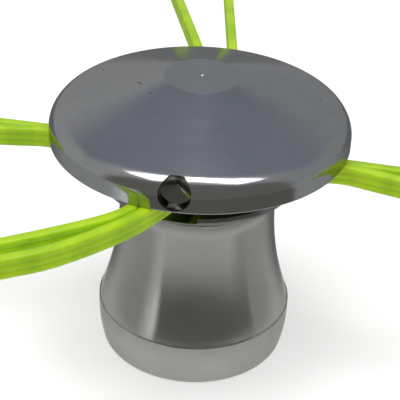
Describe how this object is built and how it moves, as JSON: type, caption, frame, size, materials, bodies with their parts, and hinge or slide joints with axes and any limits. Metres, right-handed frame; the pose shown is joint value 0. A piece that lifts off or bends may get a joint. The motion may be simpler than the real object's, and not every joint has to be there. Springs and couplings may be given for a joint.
{
  "type": "fixed line trimmer head",
  "caption": "Fixed line head for a brushcutter: a turned aluminium bell and domed glide plate clamp crossing nylon cutting strips that fan out of the slots between them.",
  "frame": {"origin": "on the spindle axis in the plane of the mounting face, at the register's mouth", "axes": "+Z along the spindle axis from the mounting face to the glide plate; the two channels run along X and Y; -Y is the front of the picture, where the two upper strips leave"},
  "size_m": [0.2574, 0.2345, 0.102],
  "materials": {
    "body_aluminium": "turned, fine concentric tool marks, polished ogee, satin lower band, a few nicks",
    "plate_aluminium": "turned, fine concentric tool marks on the cone, polished shoulder",
    "stud_steel": "rolled thread, plain bright zinc",
    "line_nylon": "extruded translucent lime nylon, rounded ribs along both faces"
  },
  "bodies": {
    "root": {"bell_body": "body_aluminium", "glide_plate": "plate_aluminium", "clamp_stud": "stud_steel", "strip_upper_right": "line_nylon", "strip_upper_left": "line_nylon", "strip_lower_front": "line_nylon", "strip_lower_rear": "line_nylon"}
  },
  "joints": []
}
